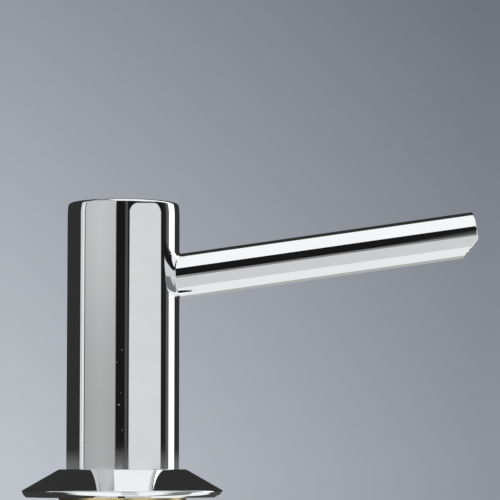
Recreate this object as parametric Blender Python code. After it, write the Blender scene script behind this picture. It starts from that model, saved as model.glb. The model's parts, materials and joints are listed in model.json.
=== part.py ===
"""Deck-mounted soap pump dispenser: a polished tube head with a straight rising spout, on a conical
flange, with the pump, the threaded shank and the soap bottle that hang under the worktop.

Run it with: blender --background --python part.py
Sizes are in millimetres and become metres where a mesh is made. +Z is up, z = 0 is the worktop's
surface, the head's axis is the Z axis, and the spout points along +X.
"""

import math

import bmesh
import bpy
from mathutils import Matrix, Vector

MM = 0.001

# ---------------------------------------------------------------- driving dimensions
GAP = 0.3  # kept between pieces that touch or slide on each other
STROKE = 12.0  # how far the head is pushed down

# Head and spout
HEAD_RADIUS = 15.0
HEAD_WALL = 1.5
HEAD_ROOF = 2.0
HEAD_TOP_Z = 78.4
HEAD_TOP_FILLET = 0.8
HEAD_OVERLAP = 5.9  # length of the head inside the flange at rest
SPOUT_RADIUS = 6.0
SPOUT_WALL = 1.5
SPOUT_DROP = 21.7  # from the head's top to where the spout's axis meets the head's
SPOUT_RISE = math.radians(8.25)
SPOUT_LENGTH = 95.5  # from the head's axis to the end face, along the spout
SPOUT_PLUG = 5.0  # solid end of the spout
SPOUT_END_FILLET = 0.4
TIP_CUT = 4.3  # height of the 45 degree cut under the tip, across the spout
NOZZLE_MARGIN = 0.5  # metal left round the outlet on the cut face
NOZZLE_WALL = 0.8
NOZZLE_LENGTH = 3.0
HOSE_CLEARANCE = 0.5
HOSE_WALL = 1.5
INSERT_FLOOR = 1.0  # plastic under the spout's opening
INSERT_ROOF = 3.0  # plastic over it
BOSS_WALL = 2.5
BOSS_CLEARANCE = 10.0  # from the pressed boss to the collar
CHANNEL_RADIUS = 1.6  # soap passage in the insert

# Flange
FLANGE_HEIGHT = 7.4
FLANGE_COVER = 10.0  # how far the flange reaches past the shank
FLANGE_LIP = 1.6  # flat ring at the top, beside the head
FLANGE_LIP_FILLET = 1.2
FLANGE_RIM = 1.75  # height of the rim
FLANGE_RIM_FILLET = 0.4
FLANGE_UNDERCUT = 1.2  # the rim leans in by this much at its foot
FLANGE_TOP_WALL = 1.5
GASKET_WIDTH = 3.2
GASKET_DEPTH = 1.4
GASKET_INSET = 3.4  # from the flange's rim to its gasket groove
GUIDE_HEIGHT = 1.5

# Shank, clamp and nut
SHANK_WALL = 1.7
SHANK_CHAMFER = 0.5
WORKTOP = 30.0  # thickness of the worktop that it is clamped to
RUBBER_THICKNESS = 2.0
RUBBER_WIDTH = 6.6
WASHER_THICKNESS = 1.5
WASHER_WIDTH = 7.6
NUT_HEIGHT = 10.0
NUT_WALL = 4.2
WING_REACH = 6.5
WING_THICKNESS = 4.5
WING_COUNT = 4
NUT_SPARE = 5.3  # thread left between the nut and the bottle
SEAT_HEIGHT = 2.5  # inner rib of the shank, which carries the pump
SEAT_ROOM = 1.5  # radial room between the rib and the pump's chamber

# Pump
STEM_RADIUS = 4.0
STEM_BORE = 2.0
FOOT_RADIUS = 6.6
FOOT_HEIGHT = 2.0
FOOT_FILLET = 0.4
OUTLET_BALL_RADIUS = 2.0
OUTLET_SEAT = 1.4
BALL_LIFT = 1.5
BALL_ROOM = 0.6  # radial room round a valve ball
SEAT_DEPTH = 1.0
CHAMBER_BORE = 7.5
CHAMBER_WALL = 1.7
CHAMBER_LENGTH = 52.0
CHAMBER_FILLET = 0.6
RIM_HEIGHT = 1.8  # the chamber's rim, which hangs on the rib
RIM_CLEARANCE = 0.5
SEAL_HEIGHT = 0.9
COLLAR_CLEARANCE = 1.8
COLLAR_PLATE = 5.7
COLLAR_SINK = 5.0  # from the flange's top down to the collar's plate
COLLAR_TAPER = 1.0
COLLAR_FILLET = 0.8
WIPER_SECTION = 0.95
WIPER_SHELF = 1.3  # plastic under the wiper ring
WIPER_SIDES = 8  # of the wiper ring's round section
PISTON_LENGTH = 8.4
PISTON_LIP = 1.6
PISTON_WAIST = 0.9
SPRING_WIRE = 0.9
SPRING_RADIUS = 5.4
SPRING_TURNS = 9
SPRING_END_RISE = 1.15  # rise of its first and last turn, in wire thicknesses
INLET_BALL_RADIUS = 3.0
INLET_SEAT = 2.0
CAGE_THICKNESS = 2.0
CAGE_HOLES = 4
CAGE_HOLE_RADIUS = 1.3
CAGE_HOLE_PLACE = 3.0
NOSE_WALL = 1.8
NOSE_TAPER = 4.5
DIP_RADIUS = 3.0
DIP_WALL = 1.0
DIP_SOCKET = 9.0
DIP_CLEARANCE = 6.0  # from the dip tube's end to the bottle's floor

# Bottle
BOTTLE_RADIUS = 35.0
BOTTLE_WALL = 1.5
BOTTLE_BODY = 100.0
BOTTLE_NECK = 12.0
BOTTLE_NECK_WALL = 2.0
BOTTLE_SHOULDER = 9.0
BOTTLE_PUSH_UP = 2.5  # how far the middle of the base stands clear
BOTTLE_FOOT = 8.0  # width of the flat ring that it would stand on
BOTTLE_FILLET = 5.0
BOTTLE_SEAL = 1.2

# Facets
FINE = 40
COARSE = 24
TINY = 12
FILLET_STEPS = 2
SPRING_STEPS = 12  # points in one turn

# ---------------------------------------------------------------- sizes that follow
spout_axis_z = HEAD_TOP_Z - SPOUT_DROP
head_inner = HEAD_RADIUS - HEAD_WALL
head_bottom = FLANGE_HEIGHT - HEAD_OVERLAP
slide_bore = HEAD_RADIUS + GAP
spout_bore = SPOUT_RADIUS - SPOUT_WALL
spout_start = math.sqrt(head_inner**2 - SPOUT_RADIUS**2) - GAP  # covers the hole in the round wall
nozzle_radius = TIP_CUT * math.sqrt(0.5) - NOZZLE_MARGIN - GAP
tip_cut_along = SPOUT_LENGTH - TIP_CUT / 2  # middle of the cut face, along the spout
tip_cut_down = SPOUT_RADIUS - TIP_CUT / 2  # and down across it
hose_radius = spout_bore - HOSE_CLEARANCE
socket_radius = STEM_RADIUS + GAP
hose_port = socket_radius + CHANNEL_RADIUS

shank_radius = slide_bore + SHANK_WALL
clamp_bore = shank_radius + GAP
flange_radius = shank_radius + FLANGE_COVER
groove_outer = flange_radius - GASKET_INSET
groove_inner = groove_outer - GASKET_WIDTH - 2 * GAP
guide_top = FLANGE_HEIGHT - FLANGE_TOP_WALL - GAP
shank_top = guide_top - GUIDE_HEIGHT - GAP

rubber_top = -WORKTOP
washer_top = rubber_top - RUBBER_THICKNESS - GAP
nut_top = washer_top - WASHER_THICKNESS - GAP
nut_bottom = nut_top - NUT_HEIGHT
nut_radius = clamp_bore + NUT_WALL
neck_top = nut_bottom - NUT_SPARE
shank_bottom = neck_top - BOTTLE_NECK

chamber_radius = CHAMBER_BORE + CHAMBER_WALL
rim_radius = slide_bore - RIM_CLEARANCE
rim_top = head_bottom - STROKE - 2 * GAP
rim_bottom = rim_top - RIM_HEIGHT
seal_top = rim_bottom - GAP
seal_bottom = seal_top - SEAL_HEIGHT
seat_top = seal_bottom - GAP
seat_radius = chamber_radius + SEAT_ROOM
collar_bore = chamber_radius + GAP
collar_radius = head_inner - COLLAR_CLEARANCE
plate_bottom = FLANGE_HEIGHT - COLLAR_SINK
plate_top = plate_bottom + COLLAR_PLATE
chamber_top = plate_bottom - GAP
chamber_floor = chamber_top - CHAMBER_LENGTH

piston_top = plate_bottom - GAP
piston_bottom = piston_top - PISTON_LENGTH
foot_top = piston_bottom - GAP
foot_bottom = foot_top - FOOT_HEIGHT

insert_floor = spout_axis_z - SPOUT_RADIUS - INSERT_FLOOR
insert_top = spout_axis_z + SPOUT_RADIUS + INSERT_ROOF
insert_radius = head_inner - GAP
boss_bottom = plate_top + STROKE + BOSS_CLEARANCE
stem_top = insert_floor - GAP
outlet_pocket = OUTLET_BALL_RADIUS + BALL_ROOM
outlet_seat_z = stem_top - 2 * OUTLET_BALL_RADIUS - BALL_LIFT

cage_bottom = chamber_floor + GAP
cage_top = cage_bottom + CAGE_THICKNESS
inlet_pocket = INLET_BALL_RADIUS + BALL_ROOM
inlet_seat_z = cage_bottom - 2 * INLET_BALL_RADIUS - BALL_LIFT
throat_z = inlet_seat_z - SEAT_DEPTH
nose_radius = DIP_RADIUS + GAP + NOSE_WALL
dip_top = throat_z - GAP
dip_socket_end = throat_z - DIP_SOCKET

spring_bottom = cage_top + GAP
spring_top = foot_bottom - GAP

neck_radius = clamp_bore + BOTTLE_NECK_WALL
bottle_seal_top = shank_bottom - GAP
ledge_z = bottle_seal_top - BOTTLE_SEAL - GAP
shoulder_top = ledge_z - BOTTLE_WALL
body_top = shoulder_top - BOTTLE_SHOULDER
bottle_bottom = body_top - BOTTLE_BODY
bottle_floor = bottle_bottom + BOTTLE_PUSH_UP + BOTTLE_WALL
dip_end = bottle_floor + DIP_CLEARANCE


# ---------------------------------------------------------------- materials
def material(name, colour, roughness, metallic):
    made = bpy.data.materials.new(name)
    made.use_nodes = True
    shader = made.node_tree.nodes["Principled BSDF"]
    shader.inputs["Base Color"].default_value = (*colour, 1.0)
    shader.inputs["Roughness"].default_value = roughness
    shader.inputs["Metallic"].default_value = metallic
    return made


def make_materials():
    return {
        "chrome": material("polished_chrome", (0.86, 0.87, 0.88), 0.04, 1.0),
        "brass": material("shank_brass", (0.74, 0.58, 0.30), 0.25, 1.0),
        "steel": material("stainless_steel", (0.62, 0.62, 0.61), 0.22, 1.0),
        "white": material("white_acetal", (0.86, 0.86, 0.84), 0.40, 0.0),
        "black": material("black_nylon", (0.035, 0.035, 0.04), 0.45, 0.0),
        "rubber": material("black_rubber", (0.02, 0.02, 0.02), 0.80, 0.0),
        "clear": material("clear_hose", (0.80, 0.83, 0.84), 0.30, 0.0),
        "milky": material("milky_bottle", (0.83, 0.85, 0.84), 0.35, 0.0),
    }


# ---------------------------------------------------------------- shape helpers
def rounded(corners, closed):
    """Replaces each corner (r, z, fillet) with an arc of that radius. Corners (r, z) stay sharp."""
    points = []
    for i, corner in enumerate(corners):
        here = Vector(corner[:2])
        fillet = corner[2] if len(corner) > 2 else 0.0
        if fillet <= 0 or (not closed and i in (0, len(corners) - 1)):
            points.append(here)
            continue
        back = (Vector(corners[i - 1][:2]) - here).normalized()
        on = (Vector(corners[(i + 1) % len(corners)][:2]) - here).normalized()
        half = back.angle(on) / 2
        reach = fillet / math.tan(half)
        centre = here + (back + on).normalized() * (fillet / math.sin(half))
        first, last = here + back * reach - centre, here + on * reach - centre
        sweep = first.angle_signed(last)
        for step in range(FILLET_STEPS + 1):
            turn = Matrix.Rotation(-sweep * step / FILLET_STEPS, 2)
            points.append(centre + turn @ first)
    return points


def place(obj, parent, paint):
    bpy.context.scene.collection.objects.link(obj)
    obj.parent = parent
    if paint:
        obj.data.materials.append(paint)
    return obj


def mesh_object(name, shape, parent, paint, smooth_under=35.0):
    bmesh.ops.recalc_face_normals(shape, faces=shape.faces)
    if shape.calc_volume(signed=True) < 0:
        bmesh.ops.reverse_faces(shape, faces=shape.faces)
    mesh = bpy.data.meshes.new(name)
    shape.to_mesh(mesh)
    shape.free()
    mesh.shade_smooth()
    mesh.set_sharp_from_angle(angle=math.radians(smooth_under))
    return place(bpy.data.objects.new(name, mesh), parent, paint)


def turned(name, corners, parent, paint, segments=COARSE, solid=False):
    """Spins an outline of (r, z) corners round Z. A solid's outline starts and ends on the axis."""
    shape = bmesh.new()
    points = rounded(corners, closed=not solid)
    verts = [shape.verts.new((p[0] * MM, 0.0, p[1] * MM)) for p in points]
    pairs = list(zip(verts, verts[1:]))
    if not solid:
        pairs.append((verts[-1], verts[0]))
    edges = [shape.edges.new(pair) for pair in pairs]
    bmesh.ops.spin(
        shape,
        geom=verts + edges,
        cent=(0, 0, 0),
        axis=(0, 0, 1),
        angle=2 * math.pi,
        steps=segments,
        use_merge=True,
    )
    bmesh.ops.remove_doubles(shape, verts=shape.verts, dist=1e-7)
    return mesh_object(name, shape, parent, paint)


def helper(obj):
    """A cutter or joined shape, which isn't a piece by itself."""
    obj.hide_render = True
    obj.display_type = "WIRE"
    return obj


def combine(target, other, operation):
    step = target.modifiers.new(other.name, "BOOLEAN")
    step.operation = operation
    step.solver = "EXACT"
    step.object = other


def drill(target, radius, start, end, segments=COARSE):
    """Cuts a round hole from start to end, both (x, y, z) in the target's own axes."""
    start, end = Vector(start), Vector(end)
    shape = bmesh.new()
    bmesh.ops.create_cone(
        shape,
        cap_ends=True,
        segments=segments,
        radius1=radius * MM,
        radius2=radius * MM,
        depth=(end - start).length * MM,
    )
    turn = (end - start).to_track_quat("Z", "Y").to_matrix().to_4x4()
    shape.transform(Matrix.Translation((start + end) / 2 * MM) @ turn)
    cutter = mesh_object(target.name + "_hole", shape, target, None)
    combine(target, helper(cutter), "DIFFERENCE")


def box(name, low, high, parent, turn=Matrix.Identity(4), paint=None):
    """A box between two corners in millimetres, turned about the parent's origin."""
    low, high = Vector(low), Vector(high)
    shape = bmesh.new()
    bmesh.ops.create_cube(shape, size=1.0)
    scale = Matrix.Diagonal((*((high - low) * MM), 1.0))
    shape.transform(turn @ Matrix.Translation((low + high) / 2 * MM) @ scale)
    return mesh_object(name, shape, parent, paint)


def ring(name, bore, radius, bottom, top, parent, paint, segments=COARSE):
    """A plain washer, bush or tube."""
    corners = [(bore, bottom), (radius, bottom), (radius, top), (bore, top)]
    return turned(name, corners, parent, paint, segments)


def ball(name, radius, centre_z, parent, paint):
    shape = bmesh.new()
    bmesh.ops.create_icosphere(shape, subdivisions=2, radius=radius * MM)
    made = mesh_object(name, shape, parent, paint, smooth_under=60.0)
    made.location = (0, 0, centre_z * MM)
    return made


def body_frame(name):
    """An empty on the joint's axis, which the pieces of one moving body hang from."""
    empty = bpy.data.objects.new(name, None)
    empty.empty_display_size = 0.01
    bpy.context.scene.collection.objects.link(empty)
    return empty


# ---------------------------------------------------------------- head and spout
def spout_point(along, across):
    """(x, z) of a point on the spout's mid plane: along its axis, and across it, upwards."""
    x = along * math.cos(SPOUT_RISE) - across * math.sin(SPOUT_RISE)
    return x, spout_axis_z + along * math.sin(SPOUT_RISE) + across * math.cos(SPOUT_RISE)


def lay_on_spout(obj):
    """Turns a piece made along Z so that it lies along the spout, its +X side underneath."""
    obj.location = (0, 0, spout_axis_z * MM)
    obj.rotation_euler = (0, math.pi / 2 - SPOUT_RISE, 0)


def make_head_shell(parent, paint):
    shell = turned(
        "head_shell",
        [
            (0, HEAD_TOP_Z),
            (HEAD_RADIUS, HEAD_TOP_Z, HEAD_TOP_FILLET),
            (HEAD_RADIUS, head_bottom, HEAD_WALL / 4),
            (head_inner, head_bottom),
            (head_inner, HEAD_TOP_Z - HEAD_ROOF),
            (0, HEAD_TOP_Z - HEAD_ROOF),
        ],
        parent,
        paint,
        FINE,
        solid=True,
    )
    inside_x, inside_z = spout_point(HEAD_RADIUS / 2, 0)
    outside_x, outside_z = spout_point(2 * HEAD_RADIUS, 0)
    hole = SPOUT_RADIUS + GAP
    drill(shell, hole, (inside_x, 0, inside_z), (outside_x, 0, outside_z), FINE)


def make_spout(parent, paint):
    """Tube with a solid end, which is cut at 45 degrees underneath and drilled for the outlet."""
    spout = turned(
        "spout_tube",
        [
            (0, SPOUT_LENGTH),
            (SPOUT_RADIUS, SPOUT_LENGTH, SPOUT_END_FILLET),
            (SPOUT_RADIUS, spout_start),
            (spout_bore, spout_start),
            (spout_bore, SPOUT_LENGTH - SPOUT_PLUG),
            (0, SPOUT_LENGTH - SPOUT_PLUG),
        ],
        parent,
        paint,
        FINE,
        solid=True,
    )
    lay_on_spout(spout)
    reach = 2 * SPOUT_RADIUS
    face = Matrix.Translation((tip_cut_down * MM, 0, tip_cut_along * MM))
    face = face @ Matrix.Rotation(-math.pi / 4, 4, "Y")
    cutter = box("tip_cutter", (0, -reach, -reach), (reach, reach, reach), spout, face)
    combine(spout, helper(cutter), "DIFFERENCE")
    back = (SPOUT_PLUG + nozzle_radius) * math.sqrt(0.5)
    outside = (tip_cut_down + reach, 0, tip_cut_along + reach)
    inside = (tip_cut_down - back, 0, tip_cut_along - back)
    drill(spout, nozzle_radius + GAP, outside, inside)


def make_nozzle(parent, paint):
    """Small liner in the outlet hole, square to the cut face."""
    bore = nozzle_radius - NOZZLE_WALL
    nozzle = ring("outlet_nozzle", bore, nozzle_radius, -NOZZLE_LENGTH, 0, parent, paint)
    x, z = spout_point(tip_cut_along, -tip_cut_down)
    nozzle.location = (x * MM, 0, z * MM)
    nozzle.rotation_euler = (0, math.pi * 3 / 4 - SPOUT_RISE, 0)


def make_hose(parent, paint):
    """Hose through the spout, from the port in the insert to the solid end."""
    end = SPOUT_LENGTH - SPOUT_PLUG - nozzle_radius
    bore = hose_radius - HOSE_WALL
    lay_on_spout(ring("spout_hose", bore, hose_radius, hose_port + GAP, end, parent, paint))


def make_insert(parent, paint):
    """Carrier pressed into the head: socket for the stem below, port for the hose at the side."""
    insert = turned(
        "head_insert",
        [
            (0, insert_top),
            (insert_radius, insert_top, INSERT_FLOOR / 2),
            (insert_radius, insert_floor),
            (socket_radius + BOSS_WALL, insert_floor),
            (socket_radius + BOSS_WALL, boss_bottom),
            (socket_radius, boss_bottom),
            (socket_radius, insert_floor),
            (0, insert_floor),
        ],
        parent,
        paint,
        solid=True,
    )
    flat = spout_start * math.cos(SPOUT_RISE) - SPOUT_RADIUS * math.sin(SPOUT_RISE) - GAP
    high = 2 * insert_radius
    low_corner = (flat, -high, insert_floor - high)
    cutter = box("insert_flat", low_corner, (high, high, insert_top + high), insert)
    combine(insert, helper(cutter), "DIFFERENCE")
    port_x, port_z = spout_point(hose_port, 0)
    out_x, out_z = spout_point(2 * HEAD_RADIUS, 0)
    drill(insert, hose_radius + GAP, (port_x, 0, port_z), (out_x, 0, out_z))
    over_x, over_z = spout_point(hose_port + INSERT_FLOOR, 0)
    elbow = spout_axis_z + CHANNEL_RADIUS
    drill(insert, CHANNEL_RADIUS, (0, 0, insert_floor - INSERT_FLOOR), (0, 0, elbow))
    drill(insert, CHANNEL_RADIUS, (0, 0, spout_axis_z), (over_x, 0, over_z))


# ---------------------------------------------------------------- pump
def make_stem(parent, paint):
    """Hollow rod with a foot for the spring, and the outlet valve's seat near its top."""
    seat_bottom = outlet_seat_z - SEAT_DEPTH
    turned(
        "stem",
        [
            (STEM_BORE, foot_bottom),
            (FOOT_RADIUS, foot_bottom, FOOT_FILLET),
            (FOOT_RADIUS, foot_top),
            (STEM_RADIUS, foot_top),
            (STEM_RADIUS, stem_top),
            (outlet_pocket, stem_top),
            (outlet_pocket, outlet_seat_z),
            (OUTLET_SEAT, outlet_seat_z),
            (OUTLET_SEAT, seat_bottom),
            (STEM_BORE, seat_bottom - SEAT_DEPTH),
        ],
        parent,
        paint,
    )


def make_piston(parent, paint):
    """Piston with a sealing lip at each end and a waist between them."""
    seal = CHAMBER_BORE - GAP
    waist = seal - PISTON_WAIST
    reach = PISTON_LIP + PISTON_WAIST
    turned(
        "piston",
        [
            (STEM_RADIUS + GAP, piston_bottom),
            (seal, piston_bottom),
            (seal, piston_bottom + PISTON_LIP),
            (waist, piston_bottom + reach),
            (waist, piston_top - reach),
            (seal, piston_top - PISTON_LIP),
            (seal, piston_top),
            (STEM_RADIUS + GAP, piston_top),
        ],
        parent,
        paint,
    )


def resting_height(ball_radius, seat):
    """Height of a ball's centre over its seat, with the gap left between them."""
    return math.sqrt((ball_radius + GAP) ** 2 - seat**2)


def make_chamber(parent, paint):
    """Pump cylinder: a rim that hangs on the shank's rib, the bore, the inlet valve, a hose socket."""
    turned(
        "pump_chamber",
        [
            (CHAMBER_BORE, chamber_floor),
            (CHAMBER_BORE, chamber_top),
            (chamber_radius, chamber_top),
            (chamber_radius, rim_top),
            (rim_radius, rim_top),
            (rim_radius, rim_bottom),
            (chamber_radius, rim_bottom),
            (chamber_radius, chamber_floor - CHAMBER_WALL, CHAMBER_FILLET),
            (nose_radius, chamber_floor - CHAMBER_WALL - NOSE_TAPER, CHAMBER_FILLET),
            (nose_radius, dip_socket_end),
            (DIP_RADIUS + GAP, dip_socket_end),
            (DIP_RADIUS + GAP, throat_z),
            (INLET_SEAT, throat_z),
            (INLET_SEAT, inlet_seat_z),
            (inlet_pocket, inlet_seat_z),
            (inlet_pocket, chamber_floor),
        ],
        parent,
        paint,
    )


def make_collar(parent, paint):
    """Screw cap of the chamber, which guides the stem and holds its wiper ring."""
    guide = STEM_RADIUS + GAP
    groove = guide + 2 * WIPER_SECTION + GAP
    groove_low = plate_bottom + WIPER_SHELF
    groove_high = groove_low + 2 * WIPER_SECTION + 2 * GAP
    turned(
        "pump_collar",
        [
            (collar_bore, rim_top + GAP),
            (collar_radius, rim_top + GAP),
            (collar_radius, plate_top - 2 * COLLAR_TAPER, COLLAR_FILLET),
            (groove + COLLAR_TAPER, plate_top - COLLAR_TAPER),
            (groove, plate_top),
            (guide, plate_top),
            (guide, groove_high),
            (groove, groove_high),
            (groove, groove_low),
            (guide, groove_low),
            (guide, plate_bottom),
            (collar_bore, plate_bottom),
        ],
        parent,
        paint,
    )


def make_wiper(parent, paint):
    """O-ring in the collar's groove, round the stem."""
    radius = STEM_RADIUS + GAP + WIPER_SECTION
    height = plate_bottom + WIPER_SHELF + GAP + WIPER_SECTION
    corners = []
    for side in range(WIPER_SIDES):
        turn = 2 * math.pi * side / WIPER_SIDES
        out, up = WIPER_SECTION * math.cos(turn), WIPER_SECTION * math.sin(turn)
        corners.append((radius + out, height + up))
    turned("stem_wiper", corners, parent, paint)


def make_cage(parent, paint):
    """Disc over the inlet ball, with holes for the soap, which also carries the spring."""
    radius = CHAMBER_BORE - GAP
    corners = [(0, cage_top), (radius, cage_top), (radius, cage_bottom), (0, cage_bottom)]
    cage = turned("ball_cage", corners, parent, paint, solid=True)
    for hole in range(CAGE_HOLES):
        turn = 2 * math.pi * (hole + 0.5) / CAGE_HOLES
        x, y = CAGE_HOLE_PLACE * math.cos(turn), CAGE_HOLE_PLACE * math.sin(turn)
        low, high = cage_bottom - CAGE_THICKNESS, cage_top + CAGE_THICKNESS
        drill(cage, CAGE_HOLE_RADIUS, (x, y, low), (x, y, high), TINY)


def make_dip_tube(parent, paint):
    """Straight hose from the chamber down to just over the bottle's floor."""
    ring("dip_tube", DIP_RADIUS - DIP_WALL, DIP_RADIUS, dip_end, dip_top, parent, paint)


def spring_points():
    """Centreline of a compression spring whose first and last turns lie flat."""
    flat = SPRING_WIRE * SPRING_END_RISE
    low, high = spring_bottom + SPRING_WIRE / 2, spring_top - SPRING_WIRE / 2
    rise = (high - low - 2 * flat) / (SPRING_TURNS - 2)
    points = []
    for step in range(SPRING_TURNS * SPRING_STEPS + 1):
        turns = step / SPRING_STEPS
        first, last = min(turns, 1), max(turns - SPRING_TURNS + 1, 0)
        z = low + flat * (first + last) + rise * (turns - first - last)
        turn = 2 * math.pi * turns
        points.append((SPRING_RADIUS * math.cos(turn), SPRING_RADIUS * math.sin(turn), z))
    return points


def make_spring(parent, paint):
    curve = bpy.data.curves.new("return_spring", "CURVE")
    curve.dimensions = "3D"
    curve.bevel_depth = SPRING_WIRE / 2 * MM
    curve.bevel_resolution = 1
    curve.use_fill_caps = True
    points = spring_points()
    spline = curve.splines.new("POLY")
    spline.points.add(len(points) - 1)
    for target, point in zip(spline.points, points):
        target.co = (*(Vector(point) * MM), 1.0)
    place(bpy.data.objects.new("return_spring", curve), parent, paint)


# ---------------------------------------------------------------- what stays on the worktop
def make_flange(parent, paint):
    """Conical cover, with a groove for its gasket and a recess for the guide ring and shank."""
    groove_top = GASKET_DEPTH + GAP
    turned(
        "flange",
        [
            (slide_bore, FLANGE_HEIGHT, GAP),
            (slide_bore + FLANGE_LIP, FLANGE_HEIGHT, FLANGE_LIP_FILLET),
            (flange_radius, FLANGE_RIM, FLANGE_RIM_FILLET),
            (flange_radius - FLANGE_UNDERCUT, 0),
            (groove_outer, 0),
            (groove_outer, groove_top),
            (groove_inner, groove_top),
            (groove_inner, 0),
            (clamp_bore, 0),
            (clamp_bore, guide_top + GAP),
            (slide_bore, guide_top + GAP),
        ],
        parent,
        paint,
        FINE,
    )


def make_shank(parent, paint):
    """Threaded tube through the worktop. Its outside is the thread's major diameter."""
    turned(
        "shank",
        [
            (slide_bore, shank_top),
            (slide_bore, seat_top),
            (seat_radius, seat_top),
            (seat_radius, seat_top - SEAT_HEIGHT),
            (slide_bore, seat_top - SEAT_HEIGHT),
            (slide_bore, shank_bottom),
            (shank_radius - SHANK_CHAMFER, shank_bottom),
            (shank_radius, shank_bottom + SHANK_CHAMFER),
            (shank_radius, shank_top),
        ],
        parent,
        paint,
        FINE,
    )


def make_nut(parent, paint):
    """Hand nut with a wing on each side."""
    nut = ring("wing_nut", clamp_bore, nut_radius, nut_bottom, nut_top, parent, paint, FINE)
    half = WING_THICKNESS / 2
    start, end = nut_radius - NUT_WALL / 2, nut_radius + WING_REACH
    for wing in range(WING_COUNT):
        turn = Matrix.Rotation(2 * math.pi * wing / WING_COUNT, 4, "Z")
        low, high = (start, -half, nut_bottom), (end, half, nut_top - GAP)
        combine(nut, helper(box("nut_wing", low, high, nut, turn)), "UNION")


# ---------------------------------------------------------------- bottle
def make_bottle(parent, paint):
    """Blown bottle whose neck screws on the shank's lower end."""
    outer_foot = BOTTLE_RADIUS - BOTTLE_FILLET
    inner_foot = outer_foot - BOTTLE_FOOT
    inside = BOTTLE_RADIUS - BOTTLE_WALL
    pushed = bottle_bottom + BOTTLE_PUSH_UP
    turned(
        "bottle",
        [
            (0, pushed),
            (inner_foot - BOTTLE_PUSH_UP, pushed),
            (inner_foot, bottle_bottom),
            (BOTTLE_RADIUS, bottle_bottom, BOTTLE_FILLET),
            (BOTTLE_RADIUS, body_top, BOTTLE_FILLET),
            (neck_radius, shoulder_top),
            (neck_radius, neck_top),
            (clamp_bore, neck_top),
            (clamp_bore, ledge_z),
            (slide_bore, ledge_z),
            (slide_bore, shoulder_top - BOTTLE_WALL),
            (inside, body_top - BOTTLE_WALL, BOTTLE_FILLET - BOTTLE_WALL),
            (inside, bottle_bottom + BOTTLE_WALL, BOTTLE_FILLET - BOTTLE_WALL),
            (inner_foot, bottle_bottom + BOTTLE_WALL),
            (inner_foot - BOTTLE_PUSH_UP, bottle_floor),
            (0, bottle_floor),
        ],
        parent,
        paint,
        FINE,
        solid=True,
    )


# ---------------------------------------------------------------- assembly
def build():
    for obj in list(bpy.data.objects):
        bpy.data.objects.remove(obj, do_unlink=True)
    paint = make_materials()

    fixed = body_frame("fixed_axis")
    make_flange(fixed, paint["chrome"])
    gasket_inner, gasket_outer = groove_inner + GAP, groove_outer - GAP
    ring("deck_gasket", gasket_inner, gasket_outer, 0, GASKET_DEPTH, fixed, paint["rubber"], FINE)
    guide_bottom, guide_outer = guide_top - GUIDE_HEIGHT, clamp_bore - GAP
    ring("guide_ring", slide_bore, guide_outer, guide_bottom, guide_top, fixed, paint["white"], FINE)
    make_shank(fixed, paint["brass"])

    clamp = body_frame("clamp_axis")
    rubber_outer, rubber_bottom = clamp_bore + RUBBER_WIDTH, rubber_top - RUBBER_THICKNESS
    ring("rubber_washer", clamp_bore, rubber_outer, rubber_bottom, rubber_top, clamp, paint["rubber"], FINE)
    washer_outer, washer_bottom = clamp_bore + WASHER_WIDTH, washer_top - WASHER_THICKNESS
    ring("clamp_washer", clamp_bore, washer_outer, washer_bottom, washer_top, clamp, paint["steel"], FINE)
    make_nut(body_frame("nut_axis"), paint["black"])

    bottle = body_frame("bottle_axis")
    make_bottle(bottle, paint["milky"])
    seal_low = bottle_seal_top - BOTTLE_SEAL
    ring("bottle_seal", slide_bore, shank_radius, seal_low, bottle_seal_top, bottle, paint["rubber"], FINE)

    pump = body_frame("pump_axis")
    make_chamber(pump, paint["white"])
    make_collar(pump, paint["white"])
    make_wiper(pump, paint["rubber"])
    ring("chamber_seal", seat_radius, rim_radius, seal_bottom, seal_top, pump, paint["rubber"])
    make_cage(pump, paint["white"])
    make_dip_tube(pump, paint["clear"])
    make_spring(pump, paint["steel"])
    inlet_rest = inlet_seat_z + resting_height(INLET_BALL_RADIUS, INLET_SEAT)
    ball("inlet_ball", INLET_BALL_RADIUS, inlet_rest, body_frame("inlet_axis"), paint["steel"])

    plunger = body_frame("plunger_axis")
    make_stem(plunger, paint["white"])
    make_piston(plunger, paint["black"])
    outlet_rest = outlet_seat_z + resting_height(OUTLET_BALL_RADIUS, OUTLET_SEAT)
    ball("outlet_ball", OUTLET_BALL_RADIUS, outlet_rest, body_frame("outlet_axis"), paint["steel"])

    head = body_frame("head_axis")
    make_head_shell(head, paint["chrome"])
    make_spout(head, paint["chrome"])
    make_nozzle(head, paint["black"])
    make_hose(head, paint["clear"])
    make_insert(head, paint["black"])


build()
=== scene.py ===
"""Looks of the deck-mounted soap pump dispenser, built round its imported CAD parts.

Sizes are in millimetres and become metres where a mesh is made. +Z is up, z = 0 is the worktop's
surface, the head's axis is the Z axis and the spout points along +X.
"""

import json
import math

import bmesh
import bpy
import numpy as np
from mathutils import Matrix, Vector


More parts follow.
